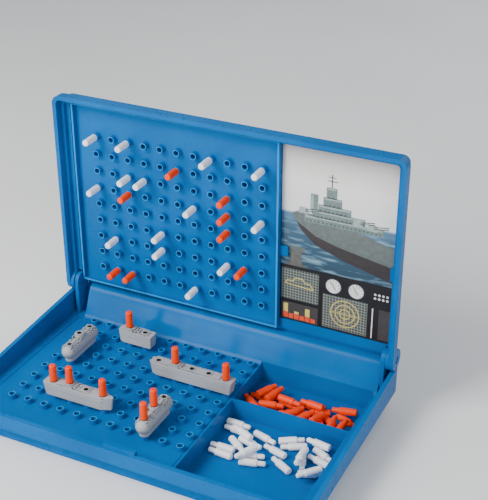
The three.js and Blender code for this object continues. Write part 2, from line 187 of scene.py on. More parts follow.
def moulded(name, dark, light, roughness, grain=GRAIN_SCALE, bump=0.05, through=0.0, shine=0.3,
            corner=None, tips=None, ribbed_below=None):
    """Moulded plastic: a slow drift of tone, uneven gloss and a faint moulded grain. corner is the
    tone of a painted shade in its crevices and how wide it reaches, tips an axis and where along
    it a painted highlight, a paler tone, starts and is full, and ribbed_below the height of the
    floors that are finely ribbed."""
    nodes = Nodes(name)
    tone = nodes.ramp(nodes.noise(DRIFT_SCALE, 2), (0.3, dark), (0.7, light))
    # Painted highlight: a paler blue on the boss tips, where the gloss catches the light.
    if tips:
        axis, start, stop = tips
        near = nodes.spread(nodes.along(axis), start=start, stop=stop)
        tone = nodes.blend("MIX", tone, BLUE_TIP_HIGHLIGHT, near)
    # Painted shade: the tone is darkened in crevices by ambient occlusion.
    if corner:
        shade_tone, width = corner
        painted_crevice_shade = nodes.ramp(nodes.crevices(width), (0.35, shade_tone), (0.9, ALL))
        tone = nodes.blend("MULTIPLY", tone, painted_crevice_shade)
    relief = nodes.noise(grain, 3)
    if ribbed_below:
        relief = nodes.ribs(relief, ribbed_below)
    nodes.bump(relief, bump, GRAIN_DEPTH)
    nodes.surface({
        "Base Color": tone,
        "Roughness": nodes.spread(nodes.noise(GLOSS_SCALE, 4), roughness - 0.06, roughness + 0.08),
        "IOR": PLASTIC_IOR,
        "Specular IOR Level": shine,
        "Subsurface Weight": through,
        "Subsurface Radius": SCATTER,
        "Subsurface Scale": 1.0,
    })
    return nodes.material


BLUE_DARK = (0.0, 0.105, 0.33, 1)
BLUE_LIGHT = (0.0, 0.13, 0.40, 1)
# The paler blue of the painted highlight on the boss tips.
BLUE_TIP_HIGHLIGHT = (0.01, 0.24, 0.60, 1)
BLUE_GRAIN = 0.035
BASE_GRAIN = 0.06
# Where the painted highlight on the boss tips starts and is full, along each panel's axis.
OCEAN_TIP_HIGHLIGHT = ("Z", 15.75 * MM, 15.95 * MM)
TARGET_TIP_HIGHLIGHT = ("Y", 57.25 * MM, 57.05 * MM)
RIBBED_BELOW = TRAY_FLOOR_Z + 0.2 * MM


def blue(name, bump=0.05, **marks):
    return moulded(name, BLUE_DARK, BLUE_LIGHT, 0.28, bump=bump, shine=0.1, **marks)


BLUE = blue("blue_plastic", BLUE_GRAIN)
BASE_BLUE = blue("blue_plastic_base", BASE_GRAIN, ribbed_below=RIBBED_BELOW)
# The grid panels' blue, with the painted highlight on their boss tips.
OCEAN_BLUE = blue("blue_plastic_ocean", tips=OCEAN_TIP_HIGHLIGHT)
TARGET_BLUE = blue("blue_plastic_target", tips=TARGET_TIP_HIGHLIGHT)
ORANGE = moulded("orange_plastic", (0.98, 0.05, 0.0, 1), (1.0, 0.068, 0.0, 1), 0.42, shine=0.25)
WHITE = moulded("white_plastic", srgb(236, 236, 240), srgb(250, 250, 252), 0.36, through=0.12)
# The ships' grey, with a painted shade darkening its crevices within 0.9 mm.
GREY = moulded(
    "grey_plastic", (0.33, 0.34, 0.355, 1), (0.42, 0.43, 0.445, 1), 0.5, grain=1400, bump=0.12,
    corner=((0.22, 0.21, 0.2, 1), 0.9 * MM),
)
# Near-black painted shade for the insides of the ships' open holes.
HOLE_PAINTED_SHADE = moulded(
    "hole_painted_shade", (0.035, 0.035, 0.036, 1), (0.05, 0.05, 0.052, 1), 0.7, shine=0.1,
)


# ---- Meshes -------------------------------------------------------------------------
SMOOTH_BELOW = math.radians(38)
BEVELLED_ABOVE = math.radians(32)
FLAT_WITHIN = math.radians(0.6)
ROUNDNESS = 0.6


def shade(mesh):
    """Smooth faces, with the edges between steep neighbours kept sharp."""
    work = bmesh.new()
    work.from_mesh(mesh)
    for face in work.faces:
        face.smooth = True
    for edge in work.edges:
        edge.smooth = len(edge.link_faces) == 2 and edge.calc_face_angle(0) < SMOOTH_BELOW
    work.to_mesh(mesh)
    work.free()


def piece(name, work, *materials):
    """A new object from a bmesh, which is used up."""
    mesh = bpy.data.meshes.new(name)
    work.normal_update()
    work.to_mesh(mesh)
    work.free()
    for material in materials:
        mesh.materials.append(material)
    shade(mesh)
    made = bpy.data.objects.new(name, mesh)
    bpy.context.scene.collection.objects.link(made)
    even = made.modifiers.new("even", "WEIGHTED_NORMAL")
    even.keep_sharp = True
    return made


def bevelled(work, width, segments=2):
    """Rounds a bmesh's sharp edges."""
    bmesh.ops.remove_doubles(work, verts=work.verts, dist=JOINED)
    bmesh.ops.dissolve_limit(work, angle_limit=FLAT_WITHIN, verts=work.verts, edges=work.edges)
    many_sided = [f for f in work.faces if len(f.verts) > 4]
    bmesh.ops.triangulate(work, faces=many_sided, ngon_method="BEAUTY")
    sharp = [
        e for e in work.edges
        if len(e.link_faces) == 2 and e.calc_face_angle(0) > BEVELLED_ABOVE
    ]
    bmesh.ops.bevel(
        work, geom=sharp, offset=width, segments=segments, profile=ROUNDNESS, affect="EDGES",
        clamp_overlap=True, loop_slide=True,
    )
    return work


def refined(node, width, material, body):
    """A finer copy of a CAD node, with rounded edges and smooth curves."""
    work = bmesh.new()
    work.from_mesh(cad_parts[node].data)
    made = piece(node + "_fine", bevelled(work, width), material)
    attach(made, body)
    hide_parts(node)
    return made


def middle(node):
    low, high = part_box(node)
    return (Vector(low) + Vector(high)) / 2


def turns(sides):
    """Evenly spaced angles once round."""
    return [2 * math.pi * i / sides for i in range(sides)]


def ring(work, radius, height, sides, x=0.0):
    """Vertices round an upright line at x."""
    return [
        work.verts.new((x + radius * math.cos(a), radius * math.sin(a), height))
        for a in turns(sides)
    ]


def band(work, one, other):
    """Faces from one ring to another; a ring may be a single point."""
    sides = max(len(one), len(other))
    faces = []
    for i in range(sides):
        j = (i + 1) % sides
        corners = (
            one[i % len(one)], one[j % len(one)], other[j % len(other)], other[i % len(other)],
        )
        faces.append(work.faces.new(list(dict.fromkeys(corners))))
    return faces


def turned(profile, sides):
    """A bmesh turned about Z from (radius, height) points that start and end on the axis."""
    work = bmesh.new()
    rings = [
        ring(work, radius, height, sides) if radius else [work.verts.new((0, 0, height))]
        for radius, height in profile
    ]
    for low, high in zip(rings, rings[1:]):
        band(work, low, high)
    bmesh.ops.recalc_face_normals(work, faces=work.faces)
    return work


# ---- Stage and camera ---------------------------------------------------------------
EYE = (0.2578, -0.4485, 0.3844)
FORWARD = Vector((-0.384, 0.791, -0.476))
LENS = 82.54
LIT_POINT = Vector((0, 0, 0.05))
SURROUND = (0.92, 0.96, 1.0, 1)
SURROUND_STRENGTH = 0.52
FLOOR_REACH = 3.0
LAMPS = (
    # name, place, width, watts, colour
    ("key", (-0.38, -0.5, 0.65), 0.4, 9.5, (1, 0.985, 0.96)),
    ("fill", (0.75, -0.6, 0.5), 0.7, 3.5, (0.93, 0.97, 1)),
    ("ramp_glow", (-0.42, -0.85, 0.24), 0.16, 2.2, (1, 1, 1)),
    ("behind", (0.35, 0.9, 0.55), 0.8, 3.0, (0.95, 0.98, 1)),
)


def aimed(name, data, place, direction):
    """A camera or a lamp at a place, looking along a direction."""
    made = bpy.data.objects.new(name, data)
    made.location = place
    made.rotation_euler = direction.to_track_quat("-Z", "Y").to_euler()
    bpy.context.scene.collection.objects.link(made)
    return made


def studio():
    lens = bpy.data.cameras.new("camera")
    lens.lens = LENS
    lens.clip_start = 0.01
    bpy.context.scene.camera = aimed("camera", lens, EYE, FORWARD)

    world = bpy.data.worlds.new("studio")
    world.use_nodes = True
    background = world.node_tree.nodes["Background"]
    background.inputs["Color"].default_value = SURROUND
    background.inputs["Strength"].default_value = SURROUND_STRENGTH
    bpy.context.scene.world = world

    for name, place, size, power, color in LAMPS:
        data = bpy.data.lights.new(name, "AREA")
        data.size = size
        data.energy = power
        data.color = color
        aimed(name, data, place, LIT_POINT - Vector(place))

    work = bmesh.new()
    bmesh.ops.create_grid(work, x_segments=8, y_segments=8, size=FLOOR_REACH)
    nodes = Nodes("pale_floor")
    tones = (0.3, srgb(232, 232, 232)), (0.7, srgb(238, 238, 238))
    nodes.surface({"Base Color": nodes.ramp(nodes.noise(6, 2), *tones), "Roughness": 0.8})
    piece("floor", work, nodes.material)


# ---- Grid panels --------------------------------------------------------------------
FILLET = 0.2 * MM
ROUND_OFF = 0.3 * MM
BOSS_TAPER = 0.94
LIP_WIDTH = 1.2 * MM
STEEP = 1.2
PANEL_BEVEL = 0.25 * MM
TAB_REACH = 5 * MM
TAB_SIZE = (6 * MM, 6 * MM, 1.2 * MM)
TAB_MIDDLE = 2 * MM
TAB_Z = 84 * MM


def boss_profile(top, bottom):
    """(radius, height) from the plate's surface over the boss and down its hole."""
    tip = top + BOSS_HEIGHT
    wall = BOSS_RADIUS * BOSS_TAPER
    return [
        (BOSS_RADIUS + FILLET, top),
        (BOSS_RADIUS + FILLET * 0.3, top + FILLET * 0.3),
        (BOSS_RADIUS, top + FILLET),
        (wall, tip - ROUND_OFF),
        (wall - ROUND_OFF * 0.3, tip - ROUND_OFF * 0.3),
        (wall - ROUND_OFF, tip),
        (HOLE_RADIUS + ROUND_OFF * 0.7, tip),
        (HOLE_RADIUS + ROUND_OFF * 0.2, tip - ROUND_OFF * 0.2),
        (HOLE_RADIUS, tip - ROUND_OFF * 0.8),
        (HOLE_RADIUS, bottom),
    ]


def grid_surface(work, first_x, first_y, top, bottom, high):
    """One cell round each hole, on the upper and the lower side of the plate. Cells are square,
    but the last column and row stop at the plate's high corner."""
    half = PITCH / 2
    rays = [(math.cos(angle), math.sin(angle)) for angle in turns(AROUND)]
    spokes = [(c, s, half / max(abs(c), abs(s))) for c, s in rays]
    profile = boss_profile(top, bottom)
    for column in range(COLUMNS):
        for row in range(ROWS):
            x, y = first_x + column * PITCH, first_y + row * PITCH
            room_x = min(1, (high[0] - x) / half)
            room_y = min(1, (high[1] - y) / half)
            border = [
                (x + c * reach * (room_x if c > 0 else 1), y + s * reach * (room_y if s > 0 else 1))
                for c, s, reach in spokes
            ]
            rings = [[work.verts.new((*at, top)) for at in border]]
            for radius, height in profile:
                rings.append([
                    work.verts.new((x + c * radius, y + s * radius, height)) for c, s in rays
                ])
            rings.append([work.verts.new((*at, bottom)) for at in border])
            for outer, inner in zip(rings, rings[1:]):
                band(work, outer, inner)
    bmesh.ops.remove_doubles(work, verts=work.verts, dist=JOINED)


def open_edges(work, height):
    """The edges of a flat surface at this height that have a face on one side only."""
    return [
        e for e in work.edges
        if e.is_boundary and all(abs(v.co.z - height) < LEVEL for v in e.verts)
    ]


def extruded(work, edges):
    """New vertices and new open edges, still on the old ones, with faces between."""
    made = bmesh.ops.extrude_edge_only(work, edges=edges)["geom"]
    verts = [item for item in made if isinstance(item, bmesh.types.BMVert)]
    rim = [item for item in made if isinstance(item, bmesh.types.BMEdge) and item.is_boundary]
    return verts, rim


def stretch_side(work, axis, side, limit, height):
    """Carries the open edge of a flat surface out to a straight line, in its own plane."""
    here = open_edges(work, height)
    reach = max(side * v.co[axis] for e in here for v in e.verts)
    if reach > side * limit - LEVEL:
        return
    here = [e for e in here if all(abs(side * v.co[axis] - reach) < LEVEL for v in e.verts)]
    for vert in extruded(work, here)[0]:
        vert.co[axis] = limit


def panel(first_x, first_y, low, high, top, bottom, lip=0.0):
    """A plate with bosses, from corner low to corner high, with a raised border if lip is set."""
    work = bmesh.new()
    grid_surface(work, first_x, first_y, top, bottom, high)
    inset = LIP_WIDTH if lip else 0.0
    for height, margin in ((top, inset), (bottom, 0.0)):
        for axis in (0, 1):
            stretch_side(work, axis, -1, low[axis] + margin, height)
            stretch_side(work, axis, 1, high[axis] - margin, height)
    rim = open_edges(work, top)
    if lip:
        rise, rim = extruded(work, rim)
        for vert in rise:
            vert.co.z = top + lip
        crest, rim = extruded(work, rim)
        for vert in crest:
            for axis in (0, 1):
                if abs(vert.co[axis] - low[axis] - LIP_WIDTH) < LEVEL:
                    vert.co[axis] = low[axis]
                if abs(vert.co[axis] - high[axis] + LIP_WIDTH) < LEVEL:
                    vert.co[axis] = high[axis]
    for vert in extruded(work, rim)[0]:
        vert.co.z = bottom
    bmesh.ops.remove_doubles(work, verts=work.verts, dist=JOINED)
    bmesh.ops.recalc_face_normals(work, faces=work.faces)

    def at_border(vert):
        gaps = [abs(vert.co[axis] - corner[axis]) for axis in (0, 1) for corner in (low, high)]
        return min(gaps) < LIP_WIDTH * 1.5

    edges = [
        e for e in work.edges
        if e.calc_face_angle(0) > STEEP and all(at_border(v) for v in e.verts)
    ]
    bmesh.ops.bevel(
        work, geom=edges, offset=PANEL_BEVEL, segments=2, profile=ROUNDNESS, affect="EDGES",
    )
    return work


def ocean_panel():
    low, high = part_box("ocean_grid_panel")
    top = high[2] - BOSS_HEIGHT
    first_y = FAR_ROW_Y - (ROWS - 1) * PITCH
    work = panel(FIRST_COLUMN_X, first_y, low, high, top, low[2])
    made = piece("ocean_grid_fine", work, OCEAN_BLUE)
    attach(made, "base")
    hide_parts("ocean_grid_panel")


def target_panel():
    """Made flat, with Y up the lid and Z out of its face, then stood up. A small tab at its
    right edge holds the card."""
    low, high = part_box("target_grid_panel")
    right = high[0] - TAB_REACH
    flat_low = (low[0], low[2], -high[1])
    flat_high = (right, high[2], -low[1])
    top = flat_high[2] - BOSS_HEIGHT
    work = panel(
        FIRST_COLUMN_X, LOW_ROW_Z, flat_low, flat_high, top, flat_low[2], lip=BOSS_HEIGHT,
    )
    tab = bmesh.ops.create_cube(work, size=1.0)["verts"]
    bmesh.ops.scale(work, vec=TAB_SIZE, verts=tab)
    bmesh.ops.translate(work, vec=(right + TAB_MIDDLE, TAB_Z, top), verts=tab)
    work.transform(Matrix.Rotation(math.pi / 2, 4, "X"))
    made = piece("target_grid_fine", work, TARGET_BLUE)
    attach(made, "lid")
    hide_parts("target_grid_panel")


# ---- Case ---------------------------------------------------------------------------
CASE = (
    # node, width of its rounded edges, plastic, body
    ("base_tray", 0.4 * MM, BASE_BLUE, "base"),
    ("lid_shell", 0.4 * MM, BLUE, "lid"),
    ("hinge_pin_left", 0.3 * MM, BLUE, "lid"),
    ("hinge_pin_right", 0.3 * MM, BLUE, "lid"),
)


def case():
    for node, width, plastic, body in CASE:
        refined(node, width, plastic, body)


# ---- Pegs ---------------------------------------------------------------------------
PEG_SIDES = 24
SHOULDER = 0.35 * MM
SHOULDER_Z = 0.3 * MM
STEM_POINT = 0.5 * MM
DOME = 0.75 * MM
DOME_STEPS = 6
MOST_TRIES = 2500
TRAYS_X = (27.5 * MM, 95.6 * MM)
APART_STEPS = 6
CLEAR = 2.02 * PEG_RADIUS
CROSSING = 1.2 * PEG_RADIUS
LOWER_Z = TRAY_FLOOR_Z + PEG_RADIUS
UPPER_Z = TRAY_FLOOR_Z + 2.93 * PEG_RADIUS
MOST_TILT = 0.06


def peg_mesh():
    """Upright, its head's underside at z = 0: a stem, a shoulder and a head with a round end."""
    profile = [
        (0, -PEG_STEM),
        (STEM_RADIUS * 0.7, -PEG_STEM),
        (STEM_RADIUS, STEM_POINT - PEG_STEM),
        (STEM_RADIUS, SHOULDER_Z),
        (PEG_RADIUS - SHOULDER, SHOULDER_Z),
        (PEG_RADIUS * 0.97, SHOULDER_Z + SHOULDER),
        (PEG_RADIUS * 0.97, PEG_HEAD * 0.4),
    ]
    for i in range(DOME_STEPS + 1):
        angle = math.pi / 2 * i / DOME_STEPS
        radius = PEG_RADIUS * 0.93 - DOME * (1 - math.cos(angle))
        profile.append((radius, PEG_HEAD - DOME + DOME * math.sin(angle)))
    profile.append((0, PEG_HEAD))
    return turned(profile, PEG_SIDES)


def peg(name, matrix, material, slot, body, *nodes):
    work = peg_mesh()
    work.transform(matrix)
    made = piece(name, work, material)
    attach(made, body)
    if nodes:
        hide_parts(*nodes)


def standing_pegs():
    """Each peg stands where its CAD node does: upright on a ship, level in the lid."""
    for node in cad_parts:
        if "_peg_" not in node or node.startswith("loose"):
            continue
        low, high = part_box(node)
        centre = middle(node)
        if node.startswith("target"):
            matrix = Matrix.Translation((centre.x, low[1] + PEG_HEAD, centre.z))
            matrix @= Matrix.Rotation(math.pi / 2, 4, "X")
        else:
            matrix = Matrix.Translation((centre.x, centre.y, high[2] - PEG_HEAD))
        plastic, slot = (WHITE, "white_peg") if "white" in node else (ORANGE, "orange_peg")
        peg(node + "_fine", matrix, plastic, slot, node, node)


def lying(x, y, z, heading, tilt=0.0):
    """The place of a peg lying with its middle at a point."""
    turn = Matrix.Rotation(heading, 4, "Z") @ Matrix.Rotation(math.pi / 2 - tilt, 4, "Y")
    to_middle = Matrix.Translation((0, 0, (PEG_STEM - PEG_HEAD) / 2))
    return Matrix.Translation((x, y, z)) @ turn @ to_middle


def apart(one, other):
    """Distance between two lying pegs' middle lines, in plan, by points along them."""
    nearest = 1.0
    line = PEG_LENGTH - 2 * PEG_RADIUS
    for i in range(APART_STEPS + 1):
        for j in range(APART_STEPS + 1):
            a = (i / APART_STEPS - 0.5) * line
            b = (j / APART_STEPS - 0.5) * line
            dx = one[0] + a * math.cos(one[2]) - other[0] - b * math.cos(other[2])
            dy = one[1] + a * math.sin(one[2]) - other[1] - b * math.sin(other[2])
            nearest = min(nearest, math.hypot(dx, dy))
    return nearest


def loose_heap(label, material, slot, trays_y, on_floor, on_top, seed):
    """The CAD's loose pegs where they lie, with more of them between and on top."""
    chance = random.Random(seed)
    lower = []
    nodes = sorted(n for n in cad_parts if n.startswith(f"loose_peg_{label}"))
    for n, node in enumerate(nodes):
        centre = middle(node)
        heading = 0.5 * math.sin(2.4 * n) + (n % 2) * math.pi
        lower.append((centre.x, centre.y, heading))
        matrix = lying(centre.x, centre.y, LOWER_Z, heading)
        peg(node + "_fine", matrix, material, slot, "base", node)
    margin = PEG_LENGTH / 2
    (x0, x1), (y0, y1) = TRAYS_X, trays_y
    tries = 0
    while len(lower) < on_floor and tries < MOST_TRIES:
        tries += 1
        heading = chance.uniform(0, 2 * math.pi)
        x = chance.uniform(x0 + margin, x1 - margin)
        y = chance.uniform(y0 + margin, y1 - margin)
        spot = (x, y, heading)
        if all(apart(spot, other) > CLEAR for other in lower):
            lower.append(spot)
            matrix = lying(x, y, LOWER_Z, heading)
            peg(f"heap_{label}_{len(lower):02d}", matrix, material, slot, "base")
    upper = []
    tries = 0
    while len(upper) < on_top and tries < MOST_TRIES:
        tries += 1
        x = chance.uniform(x0 + margin, x1 - margin)
        y = chance.uniform(y0 + margin, y1 - margin)
        heading = chance.uniform(0, 2 * math.pi)
        spot = (x, y, heading)
        held = any(apart(spot, other) < CROSSING for other in lower)
        if held and all(apart(spot, other) > CLEAR for other in upper):
            upper.append(spot)
            matrix = lying(x, y, UPPER_Z, heading, chance.uniform(-MOST_TILT, MOST_TILT))
            peg(f"heap_{label}_top_{len(upper):02d}", matrix, material, slot, "base")


# ---- Ships --------------------------------------------------------------------------
SHIP_BASE = 16.3 * MM
SHIP_DECK = SHIP_BASE + 7.9 * MM
SUB_CREST = SHIP_BASE + 9.8 * MM
HULL_BEVEL = 0.25 * MM
FITTING_BEVEL = 0.12 * MM
RAKE = (0.055, 0.13)
HOLE_ROOM = 1.9 * MM

# The painted shade of the holes among the materials of a ship's fittings: near-black, where the holes
# are in shadow.
HOLE_SHADE_SLOT = 1

# Millimetres, from a ship's middle line or along it from its first hole. A surface ship has a
# bridge at a hole whose rim is more than TALL over the deck.
RAIL_Y = 3.3
HULL_Y = 3.6
PORTHOLE_STEP = 2.1
VENT_STEP = 3.0
VENTS = 9
TOWER_ROOM = 3.4
TALL = 1

# A hole's rim in millimetres: radius, and height over the hole's edge.
COLLAR_SIDES = 28
# LINER is the hole's wall and SHADE_BOTTOM a disc set in the hole as its bottom; both take the holes'
# painted shade.
LINER = ((1.42, -3.0), (1.42, 0.25))
COLLAR = ((1.55, 0.38), (2.0, 0.38), (2.15, 0.25), (2.2, -0.2), (1.8, -3.0))
SHADE_BOTTOM = ((1.4, -1.8), (1.4, -1.4))

FLEET = (
    # node, first hole's column and row, quarter turns, rims over the deck by hole, pegged holes
    ("patrol_boat", 3, 1, 0, (1.6, 0.4), (0,)),
    ("carrier", 6, 3, 0, (0, 1.6, 0.5, 0.5, 0), (1, 4)),
    ("battleship", 2, 7, 0, (0, 1.8, 0.4, 0), (0, 1, 3)),
    ("submarine_left", 1, 4, 1, (0, 1.6, 0), ()),
    ("submarine_right", 8, 8, 1, (0, 1.6, 0), (0, 1)),
)


def slab(work, x0, x1, y0, y1, z0, z1):
    """A block between two corners, given in millimetres."""
    verts = bmesh.ops.create_cube(work, size=MM)["verts"]
    bmesh.ops.scale(work, vec=(x1 - x0, y1 - y0, z1 - z0), verts=verts)
    centre = Vector((x0 + x1, y0 + y1, z0 + z1)) * MM / 2
    bmesh.ops.translate(work, vec=centre, verts=verts)


def pair(work, x0, x1, y, half, z0, z1):
    """Two like blocks, at y on either side of a ship's middle line, each twice half wide."""
    for side in (-1, 1):
        slab(work, x0, x1, side * y - half, side * y + half, z0, z1)


def collar(work, x, z):
    """A round rim for the hole at x whose edge is at z, with a painted shade in the hole: its liner
    and a disc set in as its bottom are near-black.
    """

    def rings(profile):
        return [ring(work, r * MM, (z + h) * MM, COLLAR_SIDES, x * MM) for r, h in profile]

    foot, mouth = rings(LINER)
    around = [mouth, *rings(COLLAR), foot]
    for one, other in zip(around, around[1:]):
        band(work, one, other)
    low, high = rings(SHADE_BOTTOM)
    # The liner and the bottom disc are drawn in the holes' painted shade.
    dark = band(work, foot, mouth) + band(work, low, high)
    dark += [work.faces.new(low[::-1]), work.faces.new(high)]
    for face in dark:
        face.material_index = HOLE_SHADE_SLOT


def surface_fittings(work, last, tops):
    """Deck rails, rubbing strips and portholes of a straight-sided ship, and at each tall hole
    a bridge's rails, foot, front, steps and hatches. last is where its last hole is."""
    pair(work, -2.2, last + 1.2, RAIL_Y, 0.22, -0.2, 0.42)
    pair(work, -1.8, last + 1.0, HULL_Y, 0.14, -2.5, -1.9)
    pair(work, -1.8, last + 1.0, HULL_Y, 0.12, -5.6, -5.3)
    for n in range(int((last + 2) / PORTHOLE_STEP)):
        x = -1.0 + n * PORTHOLE_STEP
        pair(work, x, x + 0.9, HULL_Y, 0.1, -1.35, -0.65)
    for hole, top in enumerate(tops):
        if top > TALL:
            x = hole * HOLES_APART
            pair(work, x - 2.4, x + 2.4, 2.35, 0.22, top - 0.2, top + 0.45)
            pair(work, x - 2.9, x + 3.3, 2.95, 0.2, -0.2, top - 0.5)
            slab(work, x - 2.7, x + 2.7, -2.05, -1.75, -0.2, top + 0.3)
            slab(work, x + 3.4, x + 3.9, -1.9, 1.9, 0.6, 1.7)
            slab(work, x + 4.9, x + 5.3, -1.6, 1.6, -0.2, 0.95)
            pair(work, x + 5.6, x + 7.1, 0.95, 0.55, -0.2, 0.8)


def submarine_fittings(work):
    """Vents along the crest on either side of the tower, deck rails and the tower's plates."""
    for n in range(VENTS):
        x = -1.8 + n * VENT_STEP
        if abs(x - HOLES_APART) >= TOWER_ROOM:
            pair(work, x - 0.9, x + 0.9, 2.2, 0.55, -1.2, -0.1)
            pair(work, x - 0.9, x + 0.9, 3.4, 0.3, -2.6, -1.3)
    pair(work, -1.4, 22.4, 1.3, 0.14, -0.6, 0.12)
    pair(work, -2.4, 23.4, 4.1, 0.2, -4.0, -3.4)
    pair(work, 7.0, 14.0, 2.7, 0.3, -1.6, 0.5)


def raked(verts, centre, holes):
    """Draws a hull in towards its keel, by RAKE's shares of its length and width there, and
    leaves what is at its holes and pins in place."""
    for vert in verts:
        depth = min(1, (SHIP_DECK - vert.co.z) / (SHIP_DECK - SHIP_BASE))
        off_y = vert.co.y - centre.y
        near_hole = any(math.hypot(vert.co.x - x, off_y) < HOLE_ROOM for x in holes)
        if depth > 0 and not near_hole:
            for axis in (0, 1):
                vert.co[axis] -= (vert.co[axis] - centre[axis]) * RAKE[axis] * depth


def ships():
    for node, column, row, quarters, tops, pegged in FLEET:
        hull = refined(node, HULL_BEVEL, GREY, node)
        submarine = node.startswith("submarine")
        work = bmesh.new()
        if submarine:
            submarine_fittings(work)
        else:
            surface_fittings(work, (len(tops) - 1) * HOLES_APART, tops)
        bevelled(work, FITTING_BEVEL, segments=1)
        for hole, top in enumerate(tops):
            if hole not in pegged:
                collar(work, hole * HOLES_APART, top)
        first_x = FIRST_COLUMN_X + column * PITCH
        place = (first_x, FAR_ROW_Y - row * PITCH, SUB_CREST if submarine else SHIP_DECK)
        work.transform(Matrix.Translation(place) @ Matrix.Rotation(quarters * math.pi / 2, 4, "Z"))
        if not submarine:
            holes = [first_x + n * PITCH for n in range(len(tops))]
            raked(hull.data.vertices, middle(node), holes)
            raked(work.verts, middle(node), holes)
        bmesh.ops.recalc_face_normals(work, faces=work.faces)
        made = piece(node + "_fittings", work, GREY, HOLE_PAINTED_SHADE)
        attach(made, node)


# ---- Display card -------------------------------------------------------------------
PANEL_SHARE = 0.325
HORIZON = 0.44
CARD_BEVEL = 0.1 * MM
MESH_STEP = 1.7 * MM
MESH_LINE = 0.24
VARNISH = {"Coat Weight": 0.25, "Coat Roughness": 0.2}
INKS = {
    "hull": (0.10, 0.125, 0.12), "keel": (0.028, 0.022, 0.022), "house": (0.13, 0.19, 0.18),
    "pale": (0.30, 0.38, 0.36), "bollard": (0.10, 0.10, 0.09), "black": (0.008, 0.007, 0.007),
    "panel": (0.05, 0.045, 0.042), "yellow": (0.60, 0.50, 0.12), "red": (0.75, 0.07, 0.02),
    "white": (0.75, 0.75, 0.74), "dark": (0.02, 0.02, 0.022), "shade": (0.05, 0.07, 0.075),
}
INK_ORDER = [*INKS, "grid"]


def ink(name, color, drift=0.12):
    """Printed ink: an even colour with a little mottling, under a light varnish."""
    nodes = Nodes(name)
    dark = (*(c * (1 - drift) for c in color), 1)
    light = (*(min(1, c * (1 + drift)) for c in color), 1)
    tone = nodes.ramp(nodes.noise(420, 3), (0.35, dark), (0.65, light))
    nodes.surface({"Base Color": tone, "Roughness": 0.42, **VARNISH})
    nodes.bump(nodes.noise(900, 2), 0.03, 0.0002)
    return nodes.material


def seascape(z_sea, z_sky):
    """Sky over sea: a soft overcast gradient, then blue water with streaks of foam."""
    nodes = Nodes("card_seascape")
    height = nodes.spread(nodes.along("Z"), start=z_sea, stop=z_sky)
    sky = nodes.ramp(
        height,
        (0.0, (0.018, 0.05, 0.08, 1)),
        (HORIZON - 0.12, (0.028, 0.09, 0.15, 1)),
        (HORIZON, (0.07, 0.17, 0.28, 1)),
        (HORIZON + 0.02, (0.72, 0.73, 0.74, 1)),
        (0.72, (0.80, 0.78, 0.75, 1)),
        (1.0, (0.46, 0.43, 0.41, 1)),
    )
    streaks = nodes.noise(170, 6, factors=(0.5, 1, 3.0))
    foam = nodes.ramp(streaks, (0.5, NONE), (0.72, (0.16, 0.27, 0.33, 1)))
    water = nodes.ramp(height, (HORIZON - 0.08, ALL), (HORIZON - 0.02, NONE))
    tone = nodes.blend("ADD", sky, nodes.blend("MULTIPLY", foam, water))
    nodes.surface({"Base Color": tone, "Roughness": 0.42, **VARNISH})
    return nodes.material


def screen(name, ground, line):
    """A dark instrument screen crossed by fine bright lines."""
    nodes = Nodes(name)
    squares = nodes.scaled((1 / MESH_STEP,) * 3)
    lines = [
        nodes.formula("LESS_THAN", nodes.formula("FRACT", nodes.along(axis, squares)), MESH_LINE)
        for axis in ("X", "Z")
    ]
    tone = nodes.ramp(nodes.formula("MAXIMUM", *lines), (0.4, ground), (0.6, line))
    nodes.surface({"Base Color": tone, "Roughness": 0.35})
    return nodes.material


class Print:
    """Thin layers of ink on the card's face. Places are shares of its width and height, and
    radii and thicknesses are shares of its width."""

    LAYER = 0.03 * MM

    def __init__(self, low, high):
        self.work = bmesh.new()
        self.low = low
        self.width, self.height = high[0] - low[0], high[2] - low[2]
        self.ratio = self.width / self.height

    def flat(self, layer, color, *points):
        """A closed thin prism with this outline, its front at the given layer."""
        back, front = self.low[1] + self.LAYER, self.low[1] - layer * self.LAYER
        places = [(self.low[0] + u * self.width, self.low[2] + v * self.height) for u, v in points]
        behind = [self.work.verts.new((x, back, z)) for x, z in places]
        ahead = [self.work.verts.new((x, front, z)) for x, z in places]
        faces = [self.work.faces.new(ahead), self.work.faces.new(behind[::-1])]
        for face in faces + band(self.work, behind, ahead):
            face.material_index = INK_ORDER.index(color)

    def box(self, layer, color, u0, u1, v0, v1):
        self.flat(layer, color, (u0, v0), (u1, v0), (u1, v1), (u0, v1))

    def disc(self, layer, color, u, v, radius, sides=40):
        tall = radius * self.ratio
        edge = [(u + radius * math.cos(a), v + tall * math.sin(a)) for a in turns(sides)]
        self.flat(layer, color, *edge)

    def stroke(self, layer, color, thick, u0, v0, u1, v1):
        du, dv = u1 - u0, (v1 - v0) / self.ratio
        size = math.hypot(du, dv)
        nu, nv = -dv / size * thick / 2, du / size * thick / 2 * self.ratio
        corners = (u0 - nu, v0 - nv), (u1 - nu, v1 - nv), (u1 + nu, v1 + nv), (u0 + nu, v0 + nv)
        self.flat(layer, color, *corners)

    def outline(self, layer, color, thick, *points):
        for one, other in zip(points, points[1:] + points[:1]):
            self.stroke(layer, color, thick, *one, *other)

    def circle(self, layer, color, thick, u, v, radius, sides=36):
        inner, outer = radius - thick / 2, radius + thick / 2
        angles = turns(sides)
        for a, b in zip(angles, angles[1:] + angles[:1]):
            ends = ((inner, a), (outer, a), (outer, b), (inner, b))
            corners = [(u + r * math.cos(t), v + r * math.sin(t) * self.ratio) for r, t in ends]
            self.flat(layer, color, *corners)


